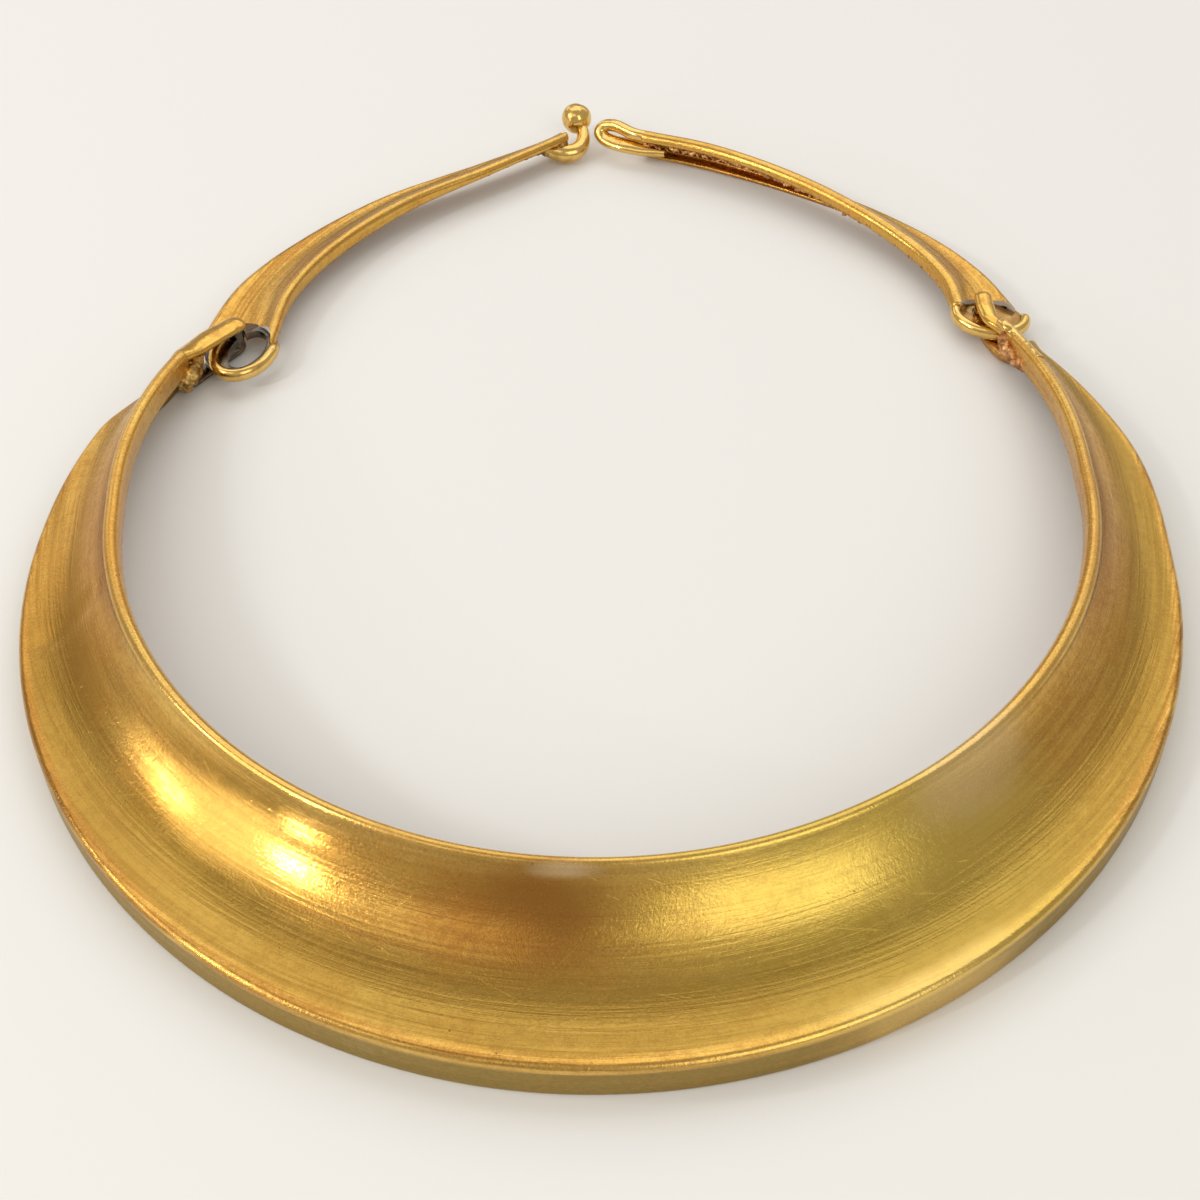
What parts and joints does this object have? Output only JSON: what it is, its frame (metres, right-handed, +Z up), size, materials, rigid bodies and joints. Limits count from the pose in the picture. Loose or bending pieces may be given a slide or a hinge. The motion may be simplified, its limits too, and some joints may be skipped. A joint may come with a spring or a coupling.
{
  "type": "hinged collar necklace",
  "caption": "Crescent collar necklace of hollowed sheet brass with a rolled rim, hinged tapering back arms and a ball hook that meets a wire loop.",
  "frame": {"origin": "centre of the neck opening's circle, on the surface that the necklace lies on", "axes": "+Z up from the surface, -Y towards the wide front of the collar, +Y towards the clasp, +X towards the arm with the loop"},
  "size_m": [0.1435, 0.1741, 0.0135],
  "materials": {
    "brass": "satin, hand rubbed, with warm tarnish in the recesses"
  },
  "bodies": {
    "front_collar": {"front_collar": "brass"},
    "left_arm": {"left_arm": "brass"},
    "right_arm": {"right_arm": "brass"}
  },
  "joints": [
    {"name": "left_arm_swing", "type": "hinge", "parent": "front_collar", "child": "left_arm", "pos_m": [-0.0538, 0.0352, 0.0029], "axis": [0, 0, 1], "range_deg": [0, 55]},
    {"name": "right_arm_swing", "type": "hinge", "parent": "front_collar", "child": "right_arm", "pos_m": [0.0531, 0.0432, 0.0029], "axis": [0, 0, -1], "range_deg": [0, 55]}
  ]
}
